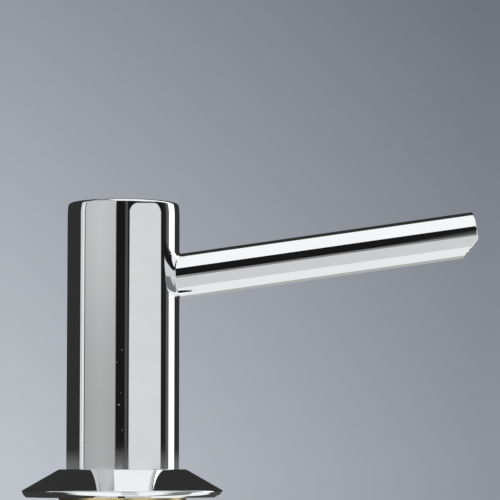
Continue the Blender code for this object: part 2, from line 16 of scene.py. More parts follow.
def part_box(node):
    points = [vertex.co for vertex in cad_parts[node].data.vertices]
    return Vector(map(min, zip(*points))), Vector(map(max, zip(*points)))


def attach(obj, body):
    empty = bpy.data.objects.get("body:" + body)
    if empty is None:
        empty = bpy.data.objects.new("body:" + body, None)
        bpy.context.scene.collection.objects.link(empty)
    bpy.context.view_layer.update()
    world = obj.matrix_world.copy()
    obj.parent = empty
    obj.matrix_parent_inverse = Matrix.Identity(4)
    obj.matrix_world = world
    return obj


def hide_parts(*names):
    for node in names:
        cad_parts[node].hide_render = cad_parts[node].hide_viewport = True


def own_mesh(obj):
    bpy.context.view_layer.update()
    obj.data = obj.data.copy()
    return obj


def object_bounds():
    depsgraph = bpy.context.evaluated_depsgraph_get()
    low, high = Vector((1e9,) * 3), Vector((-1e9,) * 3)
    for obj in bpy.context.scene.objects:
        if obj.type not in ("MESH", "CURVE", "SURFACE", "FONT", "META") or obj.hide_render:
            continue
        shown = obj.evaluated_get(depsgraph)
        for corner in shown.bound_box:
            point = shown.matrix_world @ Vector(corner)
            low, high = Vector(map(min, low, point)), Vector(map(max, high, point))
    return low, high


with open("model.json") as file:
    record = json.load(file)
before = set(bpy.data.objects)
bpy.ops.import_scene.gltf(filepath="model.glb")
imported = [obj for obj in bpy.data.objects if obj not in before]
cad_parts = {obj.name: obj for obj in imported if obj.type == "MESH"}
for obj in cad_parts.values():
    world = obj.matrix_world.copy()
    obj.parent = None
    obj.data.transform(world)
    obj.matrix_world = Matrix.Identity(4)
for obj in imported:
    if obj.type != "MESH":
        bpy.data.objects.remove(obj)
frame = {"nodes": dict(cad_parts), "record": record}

MM = 0.001
cad_low, cad_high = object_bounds()
nodes = frame["nodes"]
bodies = frame["record"]["behaviour"]["bodies"]
body_of = {node: body for body, members in bodies.items() for node in members}

# ---------------------------------------------------------------- sizes
FINE = 192  # segments of the polished pieces
COARSE = 96  # segments of the pieces under the worktop
ARC_STEP = math.radians(9)  # largest turn between two points of an arc
ON_SURFACE = 0.05  # a point this near a radius lies on it

HEAD_SHOULDER = 18.0  # radius of the gentle roll-off that buffing leaves under the top edge
HEAD_SHOULDER_TURN = math.radians(8)
HEAD_EDGE = 0.9  # radius of the top edge itself
HEAD_STEPS = 6  # rows of points in the shoulder
WELD_FILLET = 0.5  # between the head and the spout
WELD_STEPS = 6
WELD_SINK = 0.6  # how deep the spout's root sits in the head's wall
SPOUT_EDGE = 0.35
CUT_EDGE = 0.12
CUT_SUPPORT = 0.3  # a loop of edges this far behind the cut keeps the wall's shading straight
OUTLET_ROOM = 0.06  # between the outlet liner and its hole
NOZZLE_EDGE = 0.3
HOSE_EDGE = 0.2
TUBE_SIDES = 64
LIP_WIDTH = 1.6  # flat ring on top of the flange, beside the head
LIP_FILLET = 1.2
LIP_BORE_EDGE = 0.35
RECESS_EDGE = 0.2
RIM_HEIGHT = 1.73
RIM_EDGE = 0.4
RIM_UNDERCUT = 1.15  # the rim leans in by this much at its foot
RIM_BEND = 0.4  # share of the rim's height and undercut at which it bends
RIM_BEND_FILLET = 1.5
GROOVE_ROOM = 0.3  # between a ring and its groove
THREAD_PITCH = 2.0
THREAD_DEPTH = 0.65
THREAD_ROWS = 10  # rows of points in one pitch
THREAD_START = 4.0  # plain land under the flange
THREAD_CHAMFER = 0.15
THREAD_CREST = 0.15  # leaves a narrow flat on the crest
THREAD_FLANK = 2.6  # how steeply the thread falls from crest to root
RIB_STEPS = 8  # points round each rib or flute
COLLAR_EDGE = 0.4
COLLAR_RIBS = 32
COLLAR_RIB_DEPTH = 0.45
NUT_EDGE = 0.8
NUT_FLUTES = 24
NUT_FLUTE_DEPTH = 0.4
WING_ROOT = 2.5  # how deep a wing's root sits in the hub
WING_THICKNESS = 4.5
WING_EDGE = 1.4
WING_STEP = 0.5  # how far a wing's faces stand back from the nut's
BOTTLE_EDGE = 6.0
NECK_STEP = 0.5
NECK_RIBS = 48
NECK_RIB_DEPTH = 0.45
SEAM_HEIGHT = 0.12
SEAM_HALF_WIDTH = math.radians(0.5)
SPRING_WIRE = 0.9
SPRING_TURNS = 9
SPRING_STEPS = 36  # points in one turn
WIRE_SIDES = 12
FLAT_TURN = 1.15  # rise of the spring's first and last turn, in wires
BALL_ROWS = 24
CAGE_EDGE = 0.3
CAGE_HOLES = 4
CAGE_HOLE_RADIUS = 1.3
CAGE_HOLE_PLACE = 3.0  # from the axis
CAGE_HOLE_SIDES = 30
CHANNEL_RADIUS = 1.6  # of the soap's way through the carrier
INSERT_EDGE = 0.5


# ---------------------------------------------------------------- reading the frame
def measured(node, axes=Matrix.Identity(4), turn=90.0):
    """Outline of a turned CAD node: its section by the half plane at `turn` degrees about the Z axis
    of `axes`, as (r, z) points in millimetres, and whether it closes on itself."""
    shape = bmesh.new()
    shape.from_mesh(nodes[node].data)
    shape.transform(Matrix.Rotation(-math.radians(turn), 4, "Z") @ axes.inverted())
    shape.transform(Matrix.Scale(1 / MM, 4))
    bmesh.ops.remove_doubles(shape, verts=shape.verts, dist=1e-3)
    for normal, off in (((0, 1, 0), 1e-3), ((1, 0, 0), 1e-3)):
        all_parts = shape.verts[:] + shape.edges[:] + shape.faces[:]
        both = normal[1] == 1
        bmesh.ops.bisect_plane(
            shape,
            geom=all_parts,
            plane_co=Vector(normal) * off,
            plane_no=normal,
            clear_inner=True,
            clear_outer=both,
            dist=1e-5,
        )
    bmesh.ops.remove_doubles(shape, verts=shape.verts, dist=2e-3)
    chain = longest_chain(shape)
    closed = len(chain) > 2 and any(
        edge.other_vert(chain[-1]) is chain[0] for edge in chain[-1].link_edges
    )
    points = [Vector((vert.co.x, vert.co.z)) for vert in chain]
    shape.free()
    return without_straights(points, closed), closed


def longest_chain(shape):
    """Vertices of the longest run of edges, in order."""
    found, used = [], set()
    ends = [v for v in shape.verts if len(v.link_edges) == 1]
    for start in ends + list(shape.verts):
        if start in used or not start.link_edges:
            continue
        chain, here = [start], start
        used.add(start)
        while here:
            ahead = [e.other_vert(here) for e in here.link_edges]
            here = next((v for v in ahead if v not in used), None)
            if here:
                used.add(here)
                chain.append(here)
        if len(chain) > len(found):
            found = chain
    return found


def without_straights(points, closed, least=math.radians(1.0)):
    """Drops the points at which the outline doesn't turn."""
    kept = []
    for i, here in enumerate(points):
        inside = closed or 0 < i < len(points) - 1
        back = here - points[i - 1]
        on = points[(i + 1) % len(points)] - here
        if inside and (back.length < 1e-6 or on.length < 1e-6 or back.angle(on) < least):
            continue
        kept.append(here)
    return kept


def ring_size(node, axes=Matrix.Identity(4), turn=90.0):
    """(inner radius, outer radius, bottom, top) of a turned node."""
    points, _ = measured(node, axes, turn)
    radii, heights = [p[0] for p in points], [p[1] for p in points]
    return min(radii), max(radii), min(heights), max(heights)


def spout_axes():
    """Axes of the spout, from the hose that lies along it: Z along it, X downwards, the origin on
    the head's axis."""
    points = np.array([vert.co for vert in nodes["spout_hose"].data.vertices])
    centre = points.mean(0)
    along = Vector(np.linalg.svd(points - centre, full_matrices=False)[2][0])
    along = -along if along.x < 0 else along
    along.y = 0.0
    along.normalize()
    side = Vector((0, 1, 0))
    down = side.cross(along)
    middle = Vector(centre)
    origin = middle - along * (middle.x / along.x)
    axes = Matrix((down, side, along)).transposed().to_4x4()
    axes.translation = origin
    return axes


def farthest(node, direction):
    """Largest distance of a node's vertices along a direction, in millimetres."""
    return max(vert.co.dot(direction) for vert in nodes[node].data.vertices) / MM


# ---------------------------------------------------------------- outlines and surfaces
def rounded(corners, closed):
    """Replaces each corner (r, z, fillet) with an arc of that radius. Corners (r, z) stay sharp."""
    points = []
    for i, corner in enumerate(corners):
        here = Vector(corner[:2])
        fillet = corner[2] if len(corner) > 2 else 0.0
        if fillet <= 0 or (not closed and i in (0, len(corners) - 1)):
            points.append(here)
            continue
        back = (Vector(corners[i - 1][:2]) - here).normalized()
        on = (Vector(corners[(i + 1) % len(corners)][:2]) - here).normalized()
        half = back.angle(on) / 2
        reach = fillet / math.tan(half)
        centre = here + (back + on).normalized() * (fillet / math.sin(half))
        first, last = here + back * reach - centre, here + on * reach - centre
        sweep = first.angle_signed(last)
        steps = max(2, math.ceil(abs(sweep) / ARC_STEP))
        for step in range(steps + 1):
            turn = Matrix.Rotation(-sweep * step / steps, 2)
            points.append(centre + turn @ first)
    return points


def softened(points, closed, edge, least=math.radians(12)):
    """Outline with each corner rounded by `edge`, or by less where its sides are short."""
    corners = []
    for i, here in enumerate(points):
        if not closed and i in (0, len(points) - 1):
            corners.append(tuple(here))
            continue
        back = points[i - 1] - here
        on = points[(i + 1) % len(points)] - here
        half = back.angle(on) / 2
        room = 0.45 * min(back.length, on.length) * math.tan(half)
        turned_by = math.pi - 2 * half
        corners.append((*here, min(edge, room) if turned_by > least else 0.0))
    return rounded(corners, closed)


def circle_angles(count):
    return [2 * math.pi * i / count for i in range(count)]


def skin(name, rings, looped=False, axes=None, smooth_under=32.0):
    """Joins rings of points, each a closed loop or a single point, into one closed surface."""
    shape = bmesh.new()
    made = [[shape.verts.new(Vector(point) * MM) for point in ring] for ring in rings]
    pairs = list(zip(made, made[1:]))
    if looped:
        pairs.append((made[-1], made[0]))
    for low, high in pairs:
        count = max(len(low), len(high))
        for i in range(count):
            j = (i + 1) % count
            loop = (low[i % len(low)], low[j % len(low)], high[j % len(high)], high[i % len(high)])
            corners = list(dict.fromkeys(loop))
            if len(corners) > 2:
                shape.faces.new(corners)
    if axes:
        shape.transform(axes)
    return mesh_object(name, shape, smooth_under)


def mesh_object(name, shape, smooth_under=32.0):
    bmesh.ops.remove_doubles(shape, verts=shape.verts, dist=1e-7)
    bmesh.ops.dissolve_degenerate(shape, edges=shape.edges, dist=1e-8)
    bmesh.ops.recalc_face_normals(shape, faces=shape.faces)
    if shape.calc_volume(signed=True) < 0:
        bmesh.ops.reverse_faces(shape, faces=shape.faces)
    mesh = bpy.data.meshes.new(name)
    shape.to_mesh(mesh)
    shape.free()
    mesh.shade_smooth()
    mesh.set_sharp_from_angle(angle=math.radians(smooth_under))
    made = bpy.data.objects.new(name, mesh)
    bpy.context.scene.collection.objects.link(made)
    return made


def lathe(name, outline, closed, angles=None, relief=None, axes=None, smooth_under=32.0):
    """Turns an outline of (r, z) points round Z. relief(r, z, angle) may change each radius."""
    angles = angles or circle_angles(FINE)
    rings = []
    for r, z in outline:
        if r < 0.01:
            rings.append([(0.0, 0.0, z)])
            continue
        ring = []
        for angle in angles:
            radius = relief(r, z, angle) if relief else r
            ring.append((radius * math.cos(angle), radius * math.sin(angle), z))
        rings.append(ring)
    return skin(name, rings, closed, axes, smooth_under)


def flat_shading_kept(obj):
    """Keeps flat faces flat beside rounded edges, which a mirror finish would show."""
    step = obj.modifiers.new("normals", "WEIGHTED_NORMAL")
    step.keep_sharp = True
    step.weight = 50
    return obj


def carve(obj, cutter, operation="DIFFERENCE", smooth_under=32.0):
    """Cuts or joins another object, which is used up."""
    step = obj.modifiers.new(operation, "BOOLEAN")
    step.operation, step.object, step.solver = operation, cutter, "EXACT"
    bpy.context.view_layer.update()
    ready = obj.evaluated_get(bpy.context.evaluated_depsgraph_get())
    mesh = bpy.data.meshes.new_from_object(ready)
    obj.modifiers.remove(step)
    obj.data = mesh
    mesh.shade_smooth()
    mesh.set_sharp_from_angle(angle=math.radians(smooth_under))
    bpy.data.objects.remove(cutter)
    return obj


def rod(radius, start, end, segments=64):
    """A round cutter from start to end, both in millimetres."""
    start, end = Vector(start), Vector(end)
    axes = (end - start).to_track_quat("Z", "Y").to_matrix().to_4x4()
    axes.translation = start * MM
    outline = [(0, 0), (radius, 0), (radius, (end - start).length), (0, (end - start).length)]
    return lathe("cutter", outline, False, circle_angles(segments), axes=axes)


def block(low, high, edge=0.0, turn=0.0, name="cutter"):
    """A box between two corners, its edges rounded, turned about Z."""
    low, high = Vector(low), Vector(high)
    shape = bmesh.new()
    bmesh.ops.create_cube(shape, size=1.0)
    place = Matrix.Translation((low + high) / 2 * MM) @ Matrix.Diagonal((*((high - low) * MM), 1.0))
    shape.transform(place)
    if edge:
        bmesh.ops.bevel(
            shape, geom=shape.edges[:], offset=edge * MM, segments=5, profile=0.5, affect="EDGES"
        )
    shape.transform(Matrix.Rotation(turn, 4, "Z"))
    return mesh_object(name, shape)


# ---------------------------------------------------------------- node trees
class Tree:
    """Short calls for building the nodes of a material or of the world."""

    def __init__(self, owner):
        owner.use_nodes = True
        self.tree = owner.node_tree
        self.tree.nodes.clear()

    def add(self, kind, inputs=None, **settings):
        node = self.tree.nodes.new(kind)
        for name, value in settings.items():
            setattr(node, name, value)
        for name, value in (inputs or {}).items():
            self.feed(node.inputs[name], value)
        return node

    def feed(self, socket, value):
        if isinstance(value, bpy.types.NodeSocket):
            self.tree.links.new(value, socket)
        else:
            socket.default_value = value

    def math(self, operation, *values):
        node = self.add("ShaderNodeMath", operation=operation)
        for socket, value in zip(node.inputs, values):
            self.feed(socket, value)
        return node.outputs[0]

    def ramp(self, value, low, high, to_low=0.0, to_high=1.0, smooth=True):
        """Maps value from low..high to to_low..to_high, and no further."""
        kind = "SMOOTHSTEP" if smooth else "LINEAR"
        inputs = {"Value": value, "From Min": low, "From Max": high, "To Min": to_low, "To Max": to_high}
        return self.add("ShaderNodeMapRange", inputs, interpolation_type=kind).outputs["Result"]

    def mix(self, share, first, second):
        """Colour mix: first at share 0, second at share 1."""
        node = self.add("ShaderNodeMix", data_type="RGBA")
        for index, value in ((0, share), (6, first), (7, second)):
            if isinstance(value, tuple) and len(value) == 3:
                value = (*value, 1.0)
            self.feed(node.inputs[index], value)
        return node.outputs[2]

    def place(self, scale=(1.0, 1.0, 1.0)):
        """Position on the object, stretched by a scale along each axis."""
        place = self.add("ShaderNodeTexCoord").outputs["Object"]
        return self.add("ShaderNodeMapping", {"Vector": place, "Scale": scale}).outputs["Vector"]

    def noise(self, vector, scale, detail=2.0, roughness=0.5):
        inputs = {"Vector": vector, "Scale": scale, "Detail": detail, "Roughness": roughness}
        return self.add("ShaderNodeTexNoise", inputs).outputs["Fac"]

    def bump(self, height, strength, distance):
        inputs = {"Height": height, "Strength": strength, "Distance": distance}
        return self.add("ShaderNodeBump", inputs).outputs["Normal"]

    def surface(self, inputs):
        shader = self.add("ShaderNodeBsdfPrincipled", inputs)
        self.add("ShaderNodeOutputMaterial", {"Surface": shader.outputs[0]})


# ---------------------------------------------------------------- materials
def turned_lines(t, lines_per_metre):
    """Fine rings left by a lathe, as a value that changes only along the axis."""
    return t.noise(t.place((0.02, 0.02, 1.0)), lines_per_metre, 3.0, 0.6)


def polished_chrome(made):
    """Mirror plate: faint polishing haze, a few dried spots, and hardly any waviness."""
    t = Tree(made)
    haze = t.noise(t.place(), 45.0, 3.0)
    spots = t.noise(t.place(), 900.0, 1.0)
    spotted = t.ramp(spots, 0.76, 0.80)
    rough = t.math("ADD", t.ramp(haze, 0.35, 0.75, 0.018, 0.045), t.math("MULTIPLY", spotted, 0.12))
    tint = t.mix(t.ramp(haze, 0.3, 0.7), (0.93, 0.935, 0.945), (0.90, 0.905, 0.92))
    wave = t.bump(t.noise(t.place(), 110.0, 2.0), 0.02, 0.0002)
    t.surface({"Base Color": tint, "Metallic": 1.0, "Roughness": rough, "Normal": wave})


def brass_thread(made):
    """Machined brass: fine tool rings, tarnish in soft patches."""
    t = Tree(made)
    rings = turned_lines(t, 9000.0)
    tarnish = t.noise(t.place(), 70.0, 4.0, 0.6)
    fresh = t.mix(t.ramp(rings, 0.3, 0.7), (0.80, 0.62, 0.30), (0.70, 0.53, 0.25))
    colour = t.mix(t.ramp(tarnish, 0.50, 0.78), fresh, (0.44, 0.32, 0.16))
    rough = t.math("ADD", t.ramp(rings, 0.3, 0.7, 0.20, 0.32), t.ramp(tarnish, 0.5, 0.8, 0.0, 0.18))
    t.surface(
        {"Base Color": colour, "Metallic": 1.0, "Roughness": rough, "Normal": t.bump(rings, 0.15, 0.00003)}
    )


def stainless_steel(made):
    """Plain steel with a fine drawn grain."""
    t = Tree(made)
    grain = t.noise(t.place((0.05, 1.0, 1.0)), 2600.0, 3.0, 0.6)
    patch = t.noise(t.place(), 60.0, 3.0)
    colour = t.mix(t.ramp(grain, 0.3, 0.7), (0.66, 0.66, 0.65), (0.54, 0.54, 0.53))
    rough = t.math("ADD", t.ramp(grain, 0.3, 0.7, 0.20, 0.32), t.ramp(patch, 0.4, 0.7, 0.0, 0.06))
    t.surface(
        {"Base Color": colour, "Metallic": 1.0, "Roughness": rough, "Normal": t.bump(grain, 0.1, 0.00003)}
    )


def moulded(made, colour, shade, rough_low, rough_high, grain_scale, grain_height, **extra):
    """Moulded plastic or rubber: soft mottling and a fine surface grain."""
    t = Tree(made)
    mottle = t.noise(t.place(), 55.0, 4.0, 0.55)
    grain = t.noise(t.place(), grain_scale, 2.0, 0.6)
    tint = t.mix(t.ramp(mottle, 0.35, 0.7), colour, shade)
    rough = t.math(
        "ADD",
        t.ramp(mottle, 0.3, 0.7, rough_low, rough_high),
        t.ramp(grain, 0.3, 0.7, -0.03, 0.03),
    )
    inputs = {"Base Color": tint, "Roughness": rough, "Normal": t.bump(grain, 0.25, grain_height)}
    inputs.update({name.replace("_", " "): value for name, value in extra.items()})
    t.surface(inputs)


def white_acetal(made):
    moulded(made, (0.86, 0.86, 0.84), (0.80, 0.80, 0.775), 0.32, 0.42, 2200.0, 0.00003,
            Subsurface_Weight=0.15, Subsurface_Scale=0.002)


def black_nylon(made):
    moulded(made, (0.030, 0.030, 0.034), (0.045, 0.045, 0.050), 0.40, 0.55, 3200.0, 0.00006)


def black_rubber(made):
    moulded(made, (0.018, 0.018, 0.018), (0.032, 0.031, 0.030), 0.70, 0.85, 2600.0, 0.00008)


def clear_hose(made):
    moulded(made, (0.90, 0.93, 0.94), (0.84, 0.88, 0.90), 0.08, 0.16, 900.0, 0.00002,
            Transmission_Weight=0.75, IOR=1.45)


def milky_polythene(made):
    moulded(made, (0.86, 0.88, 0.87), (0.80, 0.83, 0.82), 0.30, 0.40, 700.0, 0.00006,
            Transmission_Weight=0.30, Subsurface_Weight=0.30, Subsurface_Scale=0.004, IOR=1.5)


FINISHES = {
    polished_chrome: ("head_shell", "spout_tube", "flange"),
    brass_thread: ("shank",),
    stainless_steel: ("clamp_washer", "return_spring", "inlet_ball", "outlet_ball"),
    white_acetal: ("guide_ring", "pump_chamber", "pump_collar", "ball_cage", "stem"),
    black_nylon: ("wing_nut", "piston", "head_insert", "outlet_nozzle"),
    black_rubber: ("deck_gasket", "rubber_washer", "bottle_seal", "chamber_seal", "stem_wiper"),
    clear_hose: ("spout_hose", "dip_tube"),
    milky_polythene: ("bottle",),
}


def make_finishes():
    """Material of each CAD node, by the node's name. A material is named after its recipe."""
    for imported in list(bpy.data.materials):
        bpy.data.materials.remove(imported)
    by_node = {}
    for recipe, members in FINISHES.items():
        made = bpy.data.materials.new(recipe.__name__)
        recipe(made)
        by_node.update({node: made for node in members})
    return by_node


# ---------------------------------------------------------------- light and surroundings
# Turns, rises and tips are in degrees, as studio_light() and table_light() explain them.
# turn, strength of the dark gaps between the panels
DARK_AROUND = ((-98, 0.030), (-84, 0.010), (86, 0.010), (108, 0.030))
# tip, strength of the pale table: grey in front, pale under the spout, grey behind
TABLE_ALONG = ((8, 0.22), (10, 0.66), (64, 0.66), (66, 0.88), (125, 0.88), (130, 0.45))
# turn, strength of the table to the sides
TABLE_AROUND = (
    (-78, 0.04),
    (-60, 0.97),
    (56, 0.97),
    (72, 0.20),
    (96, 0.20),
    (100, 0.95),
    (126, 0.95),
    (132, 0.06),
)
HORIZON_GLOW = 0.14  # low, at the foot of the gaps
BACKDROP_DARK = (0.15, 0.16, 0.19)
BACKDROP_MIDDLE = (0.28, 0.30, 0.34)
BACKDROP_PALE = (0.52, 0.55, 0.60)
FLOOR_REACH = 6000.0
FLOOR_GAP = 0.2
ROOM_LIGHT = 0.95  # soft light on matt surfaces
CEILING_LIGHT = 1.0
CEILING_SOFT = 0.015


def panel_mask(t, turn, rise, low, high, top, corner, soft):
    """1 on an upright panel from turn `low` to `high`, up to `top`, with rounded upper corners."""
    middle, half = (low + high) / 2, (high - low) / 2
    across = t.math("SUBTRACT", t.math("ABSOLUTE", t.math("SUBTRACT", turn, middle)), half - corner)
    above = t.math("SUBTRACT", rise, top - corner)
    across, above = t.math("MAXIMUM", across, 0.0), t.math("MAXIMUM", above, 0.0)
    away = t.math("SQRT", t.math("ADD", t.math("POWER", across, 2.0), t.math("POWER", above, 2.0)))
    return t.ramp(away, corner - soft, corner + soft, 1.0, 0.0)


def between(t, value, low, high, soft):
    """1 from low to high and 0 outside, with soft edges."""
    rise = t.ramp(value, low - soft, low + soft)
    return t.math("MULTIPLY", rise, t.ramp(value, high - soft, high + soft, 1.0, 0.0))


def curve(t, value, stops):
    """Straight pieces through (value, result) stops, level past both ends."""
    result = stops[0][1]
    for (low, before), (high, after) in zip(stops, stops[1:]):
        step = t.ramp(value, low, high, 0.0, after - before, smooth=False)
        result = t.math("ADD", result, step)
    return result


def studio_light(t, x, y, z):
    """Strength of the studio in a direction, as the polished metal reflects it. Turn is 0 towards
    the camera's side and grows towards +X; rise is above the horizon, both in degrees."""
    degrees = 180 / math.pi
    turn = t.math("MULTIPLY", t.math("ARCTAN2", x, t.math("MULTIPLY", y, -1.0)), degrees)
    rise = t.math("MULTIPLY", t.math("ARCSINE", z), degrees)
    low_left = t.ramp(rise, 1.0, 6.0, 0.72, 1.0)
    left_card = t.math("MULTIPLY", low_left, curve(t, turn, ((-84, 0.54), (-45, 0.60), (-20, 0.56))))
    # turn from, turn to, top, rounding of the corners, softness of the edges, strength
    panels = (
        (-83.5, -14.0, 60.0, 10.0, 1.6, left_card),
        (13.4, 85.0, 18.8, 18.0, 0.8, 0.71),
        (109.2, 131.5, 60.0, 4.0, 0.8, 1.4),
        (-97.0, -82.0, 60.0, 4.0, 1.0, t.ramp(rise, 36.0, 42.0, 0.0, 0.60)),
        (-92.0, -85.6, 38.0, 1.0, 0.5, 0.85),
        (-96.6, -92.7, 38.0, 1.0, 0.4, 0.72),
        (5.0, 10.5, 60.0, 1.0, 1.2, 0.075),
        (100.5, 107.5, 60.0, 1.0, 3.0, 0.16),
    )
    total = curve(t, turn, DARK_AROUND)
    for low, high, top, corner, soft, strength in panels:
        mask = panel_mask(t, turn, rise, low, high, top, corner, soft)
        total = t.math("MAXIMUM", total, t.math("MULTIPLY", mask, strength))
    up = t.math("MAXIMUM", z, 0.05)
    right, back = t.math("DIVIDE", x, up), t.math("DIVIDE", y, up)
    # x from, x to, y from, y to, all at a height of 1
    ceiling = ((-0.27, 1.30, -1.25, 0.46), (-0.45, 1.60, 0.25, 0.46))
    overhead = t.ramp(z, 0.1, 0.2)
    for left_side, right_side, near, far in ceiling:
        mask = t.math(
            "MULTIPLY",
            between(t, right, left_side, right_side, CEILING_SOFT),
            between(t, back, near, far, CEILING_SOFT),
        )
        lit = t.math("MULTIPLY", t.math("MULTIPLY", mask, overhead), CEILING_LIGHT)
        total = t.math("MAXIMUM", total, lit)
    glow = t.math("MULTIPLY", t.ramp(rise, 0.0, 0.6, 1.0, 0.0), HORIZON_GLOW)
    total = t.math("MAXIMUM", total, glow)
    below = t.ramp(rise, -0.35, 0.0, 1.0, 0.0)
    table = table_light(t, x, y, z, turn)
    return t.add("ShaderNodeMix", {0: below, 2: total, 3: table}, data_type="FLOAT").outputs[0]


def table_light(t, x, y, z, turn):
    """Strength of what lies below the horizon. Tip is the angle below the near horizon, seen
    along X, and passes 90 degrees straight down."""
    down = t.math("MULTIPLY", z, -1.0)
    tip = t.math("MULTIPLY", t.math("ARCTAN2", down, t.math("MULTIPLY", y, -1.0)), 180 / math.pi)
    along_spout = curve(t, tip, TABLE_ALONG)
    around = curve(t, turn, TABLE_AROUND)
    seen_by_spout = between(t, x, 0.0, 0.28, 0.03)
    inputs = {0: seen_by_spout, 2: around, 3: along_spout}
    return t.add("ShaderNodeMix", inputs, data_type="FLOAT").outputs[0]


def backdrop_colour(t, x, z):
    """Plain grey studio backdrop that the camera sees, a little paler low down and to the left."""
    down = t.ramp(z, 0.0, 0.19, 1.0, 0.0, smooth=False)
    leftwards = t.ramp(x, -0.07, 0.11, 1.0, 0.0, smooth=False)
    top = t.mix(leftwards, BACKDROP_DARK, BACKDROP_MIDDLE)
    foot = t.mix(leftwards, BACKDROP_MIDDLE, BACKDROP_PALE)
    return t.mix(down, top, foot)


def make_world():
    """Three studios in one: the panels for reflections, a soft room for matt surfaces and a plain
    backdrop for the camera."""
    world = bpy.data.worlds.new("studio")
    bpy.context.scene.world = world
    t = Tree(world)
    direction = t.add("ShaderNodeTexCoord").outputs["Generated"]
    x, y, z = t.add("ShaderNodeSeparateXYZ", {"Vector": direction}).outputs
    path = t.add("ShaderNodeLightPath").outputs

    mirrored = t.add("ShaderNodeBackground", {"Strength": studio_light(t, x, y, z)})
    soft = t.math("MULTIPLY", t.ramp(z, -0.3, 1.0, 0.55, 1.5, smooth=False), ROOM_LIGHT)
    room = t.add("ShaderNodeBackground", {"Strength": soft})
    view = t.add("ShaderNodeBackground", {"Color": backdrop_colour(t, x, z)})
    for plain in (mirrored, room):
        plain.inputs["Color"].default_value = (1.0, 1.0, 1.0, 1.0)
    chosen = mirrored
    for ray, seen in (("Is Diffuse Ray", room), ("Is Camera Ray", view)):
        inputs = {0: path[ray], 1: chosen.outputs[0], 2: seen.outputs[0]}
        chosen = t.add("ShaderNodeMixShader", inputs)
    t.add("ShaderNodeOutputWorld", {"Surface": chosen.outputs[0]})


def make_floor():
    bottom = cad_low.z / MM - FLOOR_GAP
    outline = [(0, bottom), (FLOOR_REACH, bottom), (FLOOR_REACH, bottom - 1), (0, bottom - 1)]
    floor = lathe("floor", outline, False, circle_angles(COARSE))
    made = bpy.data.materials.new("pale_floor")
    t = Tree(made)
    mottle = t.noise(t.place(), 6.0, 3.0)
    t.surface({"Base Color": t.mix(mottle, (0.80, 0.80, 0.80), (0.77, 0.77, 0.775)), "Roughness": 0.55})
    floor.data.materials.append(made)
    floor.visible_glossy = False


CAMERA_PLACE = Vector((19.2, -700.0, 7.4))
CAMERA_PITCH = 0.08355  # radians above level
CAMERA_YAW = -0.021  # radians, positive to the left
CAMERA_FOCUS = 5.238  # focal length over the picture's width
SENSOR = 36.0


def make_camera():
    camera = bpy.data.cameras.new("camera")
    camera.sensor_width = SENSOR
    camera.lens = CAMERA_FOCUS * SENSOR
    camera.clip_start, camera.clip_end = 0.01, 50.0
    made = bpy.data.objects.new("camera", camera)
    made.location = CAMERA_PLACE * MM
    made.rotation_euler = (math.pi / 2 + CAMERA_PITCH, 0.0, CAMERA_YAW)
    bpy.context.scene.collection.objects.link(made)
    bpy.context.scene.camera = made


# ---------------------------------------------------------------- pieces
def stand_for(piece, node):
    """The piece takes a CAD node's place, body and finish."""
    piece.name = "fine_" + node
    piece.data.materials.clear()
    piece.data.materials.append(finish[node])
    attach(piece, body_of[node])
    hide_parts(node)
    return piece


def refined(node, edge, segments=COARSE, relief=None, axes=Matrix.Identity(4), turn=90.0):
    """A turned CAD node again, with many more segments and rounded edges."""
    outline, closed = measured(node, axes, turn)
    outline = softened(outline, closed, edge)
    piece = lathe(node, outline, closed, circle_angles(segments), relief, axes)
    return stand_for(piece, node)


def make_head():
    """Tube closed at the top, with a softly buffed upper edge, drilled for the spout."""
    section, _ = measured("head_shell", turn=180.0)
    radius = max(p[0] for p in section)
    top, bottom = max(p[1] for p in section), min(p[1] for p in section)
    inner = max(p[0] for p in section if p[0] < radius - 1)
    ceiling = max(p[1] for p in section if abs(p[0] - inner) < 0.1)
    wall = radius - inner

    tilt = HEAD_SHOULDER_TURN
    sweep = HEAD_SHOULDER * math.sin(tilt)
    lean = HEAD_SHOULDER * (1 - math.cos(tilt))
    edge_top = HEAD_EDGE * (1 - math.sin(tilt))
    shoulder = top - edge_top - sweep
    points = [Vector((0, top)), Vector((radius - lean - 3 * HEAD_EDGE, top))]
    centre = Vector((radius - lean - HEAD_EDGE * math.cos(tilt), top - HEAD_EDGE))
    steps = math.ceil((math.pi / 2 - tilt) / ARC_STEP) * 2
    for step in range(steps + 1):
        angle = math.pi / 2 - (math.pi / 2 - tilt) * step / steps
        points.append(centre + HEAD_EDGE * Vector((math.cos(angle), math.sin(angle))))
    centre = Vector((radius - HEAD_SHOULDER, shoulder))
    for step in range(1, HEAD_STEPS + 1):
        angle = tilt * (1 - step / HEAD_STEPS)
        points.append(centre + HEAD_SHOULDER * Vector((math.cos(angle), math.sin(angle))))
    foot = [
        (radius, shoulder),
        (radius, bottom, wall / 3),
        (inner, bottom, wall / 6),
        (inner, ceiling, wall / 2),
        (0, ceiling),
    ]
    points += rounded(foot, closed=False)[1:]
    head = lathe("head", points, False)
    along = spout_frame.to_3x3().col[2]
    start = spout_frame.translation / MM
    hose = ring_size("spout_hose", spout_frame)[1]
    hole = rod(hose + 1, start + along * inner / 2, start + along * (radius + inner))
    carve(head, hole)
    return stand_for(flat_shading_kept(head), "head_shell")


def meeting_along(angle, across, head_radius):
    """How far along the spout a line parallel to its axis, `across` from it, meets a cylinder of
    head_radius round the head's axis. Angle 0 is underneath."""
    along = spout_frame.to_3x3().col[2]
    rise = math.asin(along.z)
    sideways, down = across * math.sin(angle), across * math.cos(angle)
    reach = math.sqrt(head_radius**2 - sideways**2)
    return (reach - down * math.sin(rise)) / math.cos(rise)


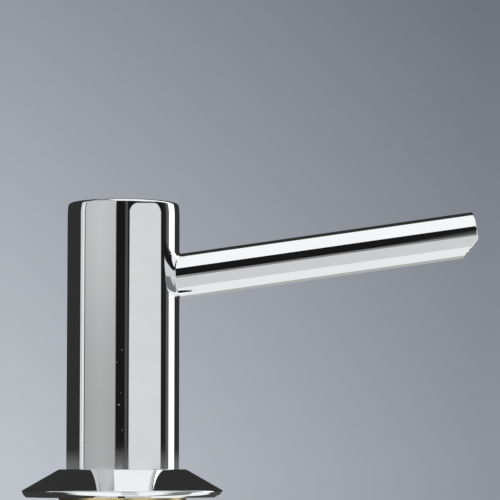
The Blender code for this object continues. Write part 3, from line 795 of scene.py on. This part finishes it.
def make_spout():
    """Tube welded to the head with a small fillet, its end cut at 45 degrees underneath."""
    head_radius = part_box("head_shell")[1].x / MM
    section, _ = measured("spout_tube", spout_frame)
    radius = max(p[0] for p in section)
    end = max(p[1] for p in section)
    bore = max(p[0] for p in section if p[0] < radius - 1)
    plug = max(p[1] for p in section if abs(p[0] - bore) < 0.1)
    to_head = spout_frame.inverted()
    angles = circle_angles(FINE)

    def point(across, angle, distance):
        return Vector((across * math.cos(angle), across * math.sin(angle), distance))

    def on_head(local, head_at):
        """The nearest point of the head's wall to a point given in the spout's axes."""
        world = spout_frame @ (local * MM) / MM
        flat = Vector((world.x, world.y, 0)).normalized()
        return to_head @ (Vector((*(flat * head_at).xy, world.z)) * MM) / MM

    rings = [[] for _ in range(WELD_STEPS + 3)]
    for angle in angles:
        reach = radius + WELD_FILLET
        hub = point(reach, angle, meeting_along(angle, reach, head_radius + WELD_FILLET))
        first = on_head(hub, head_radius) - hub
        last = point(radius, angle, hub.z) - hub
        sweep = first.angle(last)
        rings[0].append(point(bore, angle, meeting_along(angle, bore, head_radius - WELD_SINK)))
        rings[1].append(on_head(hub + first, head_radius - WELD_SINK))
        for step in range(WELD_STEPS + 1):
            share = step / WELD_STEPS
            mixed = first * math.sin((1 - share) * sweep) + last * math.sin(share * sweep)
            rings[2 + step].append(hub + mixed / math.sin(sweep))
    outside = rounded([(radius, plug), (radius, end, SPOUT_EDGE), (radius / 2, end), (0, end)], False)
    inside = [(0, plug), (bore, plug)]
    rings += [[point(r, angle, z) for angle in angles] if r else [(0, 0, z)] for r, z in outside]
    rings += [[point(r, angle, z) for angle in angles] if r else [(0, 0, z)] for r, z in inside]
    spout = skin("spout", rings, True, spout_frame)

    face = cut_frame.to_3x3().col[2]
    shape = bmesh.new()
    shape.from_mesh(spout.data)
    for inset in (CUT_SUPPORT, 0.0):
        parts = shape.verts[:] + shape.edges[:] + shape.faces[:]
        cut = bmesh.ops.bisect_plane(
            shape,
            geom=parts,
            plane_co=cut_frame.translation - face * inset * MM,
            plane_no=face,
            clear_outer=inset == 0.0,
            dist=1e-8,
        )["geom_cut"]
    border = [part for part in cut if isinstance(part, bmesh.types.BMEdge)]
    bmesh.ops.holes_fill(shape, edges=border)
    bmesh.ops.bevel(
        shape,
        geom=[edge for edge in border if edge.is_valid],
        offset=CUT_EDGE * MM,
        segments=3,
        profile=0.5,
        affect="EDGES",
        clamp_overlap=True,
    )
    bpy.data.objects.remove(spout)
    spout = mesh_object("spout", shape)
    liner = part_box("outlet_nozzle")[1].y / MM
    middle = cut_frame.translation / MM
    carve(spout, rod(liner + OUTLET_ROOM, middle + face, middle - face * liner * 2))
    return stand_for(flat_shading_kept(spout), "spout_tube")


def make_flange():
    """Cone with a flat lip round the head and a rim that leans in underneath."""
    bore, _, _, guide_top = ring_size("guide_ring")
    gasket_bore, gasket_outer, _, gasket_top = ring_size("deck_gasket")
    shank_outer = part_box("shank")[1].x / MM
    radius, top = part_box("flange")[1].x / MM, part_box("flange")[1].z / MM
    recess, room = shank_outer + GROOVE_ROOM, GROOVE_ROOM
    corners = [
        (bore, top, LIP_BORE_EDGE),
        (bore + LIP_WIDTH, top, LIP_FILLET),
        (radius, RIM_HEIGHT, RIM_EDGE),
        (radius - RIM_UNDERCUT * RIM_BEND, RIM_HEIGHT * RIM_BEND, RIM_BEND_FILLET),
        (radius - RIM_UNDERCUT, 0, RIM_EDGE / 2),
        (gasket_outer + room, 0),
        (gasket_outer + room, gasket_top + room),
        (gasket_bore - room, gasket_top + room),
        (gasket_bore - room, 0),
        (recess, 0, RECESS_EDGE),
        (recess, guide_top + room),
        (bore, guide_top + room),
    ]
    flange = lathe("flange", rounded(corners, True), True)
    return stand_for(flat_shading_kept(flange), "flange")


def dense(outline, closed, step, radius):
    """Outline with extra points along its upright sides at about that radius."""
    points = []
    for i, here in enumerate(outline):
        points.append(here)
        if i + 1 == len(outline) and not closed:
            break
        ahead = outline[(i + 1) % len(outline)]
        upright = max(abs(here[0] - radius), abs(ahead[0] - radius)) < ON_SURFACE
        if upright:
            count = math.ceil((Vector(ahead) - Vector(here)).length / step)
            points += [Vector(here).lerp(Vector(ahead), k / count) for k in range(1, count)]
    return points


def make_shank():
    """Tube with a cut thread that runs out under the flange and is chamfered at the foot."""
    section, closed = measured("shank")
    outer = max(p[0] for p in section)
    top, bottom = max(p[1] for p in section), min(p[1] for p in section)

    def thread(r, z, angle):
        if r < outer - ON_SURFACE:
            return r
        phase = ((z - bottom) / THREAD_PITCH - angle / (2 * math.pi)) % 1.0
        flank = min(1.0, max(0.0, abs(phase - 0.5) * THREAD_FLANK - THREAD_CREST))
        run_out = min(1.0, max(0.0, (top - THREAD_START - z) / THREAD_PITCH))
        foot = outer - THREAD_DEPTH + (z - bottom) - THREAD_CHAMFER
        return min(outer - THREAD_DEPTH * flank * run_out, foot)

    outline = dense(softened(section, closed, THREAD_CHAMFER), closed, THREAD_PITCH / THREAD_ROWS, outer)
    stand_for(lathe("shank", outline, closed, circle_angles(COARSE), thread), "shank")


def off_rib(angle, count, power):
    """0 on the crest of each rib and 1 halfway between two. A higher power widens the crests."""
    return (0.5 - 0.5 * math.cos(count * angle)) ** power


def make_pump_collar():
    """Screw cap of the pump's chamber, with ribs for the fingers."""
    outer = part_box("pump_collar")[1].x / MM

    def ribs(r, z, angle):
        if r < outer - ON_SURFACE:
            return r
        return r - COLLAR_RIB_DEPTH * off_rib(angle, COLLAR_RIBS, 3)

    refined("pump_collar", COLLAR_EDGE, COLLAR_RIBS * RIB_STEPS, ribs)


def make_nut():
    """Hand nut: a fluted hub with rounded wings."""
    hub, closed = measured("wing_nut", turn=45.0)
    outer = max(p[0] for p in hub)
    low, high = min(p[1] for p in hub), max(p[1] for p in hub)
    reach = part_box("wing_nut")[1].x / MM

    def flutes(r, z, angle):
        if r < outer - ON_SURFACE:
            return r
        return r - NUT_FLUTE_DEPTH * off_rib(angle, NUT_FLUTES, 2)

    outline = softened(hub, closed, NUT_EDGE)
    nut = lathe("nut", outline, closed, circle_angles(NUT_FLUTES * RIB_STEPS), flutes)
    for wing in range(4):
        turn = math.pi / 2 * wing
        corner_low = (outer - WING_ROOT, -WING_THICKNESS / 2, low + WING_STEP)
        corner_high = (reach, WING_THICKNESS / 2, high - WING_STEP)
        carve(nut, block(corner_low, corner_high, WING_EDGE, turn), "UNION")
    return stand_for(nut, "wing_nut")


def make_bottle():
    """Blown bottle: ribbed neck, soft shoulder and a fine parting line on two sides."""
    outline, closed = measured("bottle")
    outer = max(p[0] for p in outline)
    neck_top = max(p[1] for p in outline)
    neck = max(p[0] for p in outline if p[1] > neck_top - 1)
    neck_low = min(p[1] for p in outline if abs(p[0] - neck) < 0.1)
    extra = [side + share * SEAM_HALF_WIDTH for side in (0, math.pi) for share in (-1, -0.5, 0.5, 1)]
    angles = sorted(angle % (2 * math.pi) for angle in circle_angles(FINE) + extra)

    def relief(r, z, angle):
        off = abs((angle + math.pi / 2) % math.pi - math.pi / 2)
        if r > outer - 0.2:
            return r - SEAM_HEIGHT * min(1.0, off / SEAM_HALF_WIDTH)
        if r > neck - ON_SURFACE and neck_low + 1 < z < neck_top - 0.5 and r < neck + ON_SURFACE:
            return r - NECK_RIB_DEPTH * off_rib(angle, NECK_RIBS, 2)
        return r

    points = dense(softened(outline, closed, BOTTLE_EDGE), closed, NECK_STEP, neck)
    stand_for(lathe("bottle", points, closed, angles, relief), "bottle")


def make_spring():
    """Compression spring with a closed, flat turn at each end."""
    low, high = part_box("return_spring")
    bottom, top = low.z / MM, high.z / MM
    wire = SPRING_WIRE / 2
    radius = high.x / MM - wire
    flat = SPRING_WIRE * FLAT_TURN
    first_z, last_z = bottom + wire, top - wire
    rise = (last_z - first_z - 2 * flat) / (SPRING_TURNS - 2)
    rings = []
    for step in range(SPRING_TURNS * SPRING_STEPS + 1):
        turns = step / SPRING_STEPS
        ends = min(turns, 1) + max(turns - SPRING_TURNS + 1, 0)
        z = first_z + flat * ends + rise * (turns - ends)
        angle = 2 * math.pi * turns
        out = Vector((math.cos(angle), math.sin(angle), 0))
        up = Vector((0, 0, 1))
        centre = out * radius + up * z
        sides = circle_angles(WIRE_SIDES)
        rings.append([centre + wire * (out * math.cos(a) + up * math.sin(a)) for a in sides])
    first, last = ([sum(ring, Vector()) / WIRE_SIDES] for ring in (rings[0], rings[-1]))
    spring = stand_for(skin("spring", [first] + rings + [last]), "return_spring")
    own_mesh(spring)


def make_ball(node):
    """Valve ball."""
    low, high = (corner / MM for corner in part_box(node))
    radius, middle = (high.z - low.z) / 2, (high.z + low.z) / 2
    outline = [(0, middle + radius)]
    for step in range(1, BALL_ROWS):
        angle = math.pi * step / BALL_ROWS
        outline.append((radius * math.sin(angle), middle + radius * math.cos(angle)))
    outline.append((0, middle - radius))
    stand_for(lathe(node, outline, False, circle_angles(2 * BALL_ROWS)), node)


def make_cage():
    """Disc over the inlet ball, with holes for the soap."""
    cage = refined("ball_cage", CAGE_EDGE, turn=0.0)
    _, _, low, high = ring_size("ball_cage", turn=0.0)
    for hole in range(CAGE_HOLES):
        angle = 2 * math.pi * (hole + 0.5) / CAGE_HOLES
        x, y = CAGE_HOLE_PLACE * math.cos(angle), CAGE_HOLE_PLACE * math.sin(angle)
        carve(cage, rod(CAGE_HOLE_RADIUS, (x, y, low - 1), (x, y, high + 1), CAGE_HOLE_SIDES))


def make_insert():
    """Carrier in the head, with a flat and a port towards the spout."""
    insert = refined("head_insert", INSERT_EDGE, turn=180.0)
    low, high = (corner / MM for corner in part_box("head_insert"))
    carrier_low = min(p[1] for p in measured("head_insert", turn=180.0)[0] if p[0] > -low.x - 1)
    big = 2 * high.z
    carve(insert, block((high.x, -big, carrier_low - 1), (big, big, high.z + 1)))
    along = spout_frame.to_3x3().col[2]
    start = spout_frame.translation / MM
    _, hose, hose_start, _ = ring_size("spout_hose", spout_frame)
    carve(insert, rod(hose + GROOVE_ROOM, start + along * (hose_start - GROOVE_ROOM), start + along * big))
    carve(insert, rod(CHANNEL_RADIUS, start, start + along * hose_start))


def cut_axes():
    """Axes of the 45 degree cut under the spout's tip: Z out of the cut face, from its middle."""
    down, _, along = spout_frame.to_3x3().col
    face = (down + along).normalized()
    side = Vector((0, 1, 0))
    axes = Matrix((side.cross(face), side, face)).transposed().to_4x4()
    low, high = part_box("outlet_nozzle")
    middle = (low + high) / 2
    height = farthest("outlet_nozzle", face) * MM
    axes.translation = middle + face * (height - middle.dot(face))
    return axes


# turned parts that need only finer segments and rounded edges, and how far each is rounded
TURNED_PARTS = (
    ("deck_gasket", 0.3),
    ("guide_ring", 0.4),
    ("rubber_washer", 0.6),
    ("clamp_washer", 0.35),
    ("bottle_seal", 0.3),
    ("chamber_seal", 0.3),
    ("stem_wiper", 0.3),
    ("stem", 0.25),
    ("piston", 0.25),
    ("pump_chamber", 0.5),
    ("dip_tube", 0.3),
)

# ---------------------------------------------------------------- build
bpy.context.scene.view_settings.view_transform = "Standard"
finish = make_finishes()
spout_frame = spout_axes()
cut_frame = cut_axes()
make_world()
make_floor()
make_camera()

for name in nodes:
    nodes[name].data.materials.clear()
    nodes[name].data.materials.append(finish[name])

make_head()
make_spout()
make_flange()
refined("outlet_nozzle", NOZZLE_EDGE, TUBE_SIDES, axes=cut_frame)
refined("spout_hose", HOSE_EDGE, TUBE_SIDES, axes=spout_frame)
make_insert()
make_shank()
make_pump_collar()
make_nut()
make_bottle()
make_spring()
make_ball("inlet_ball")
make_ball("outlet_ball")
make_cage()
for node, edge in TURNED_PARTS:
    refined(node, edge)
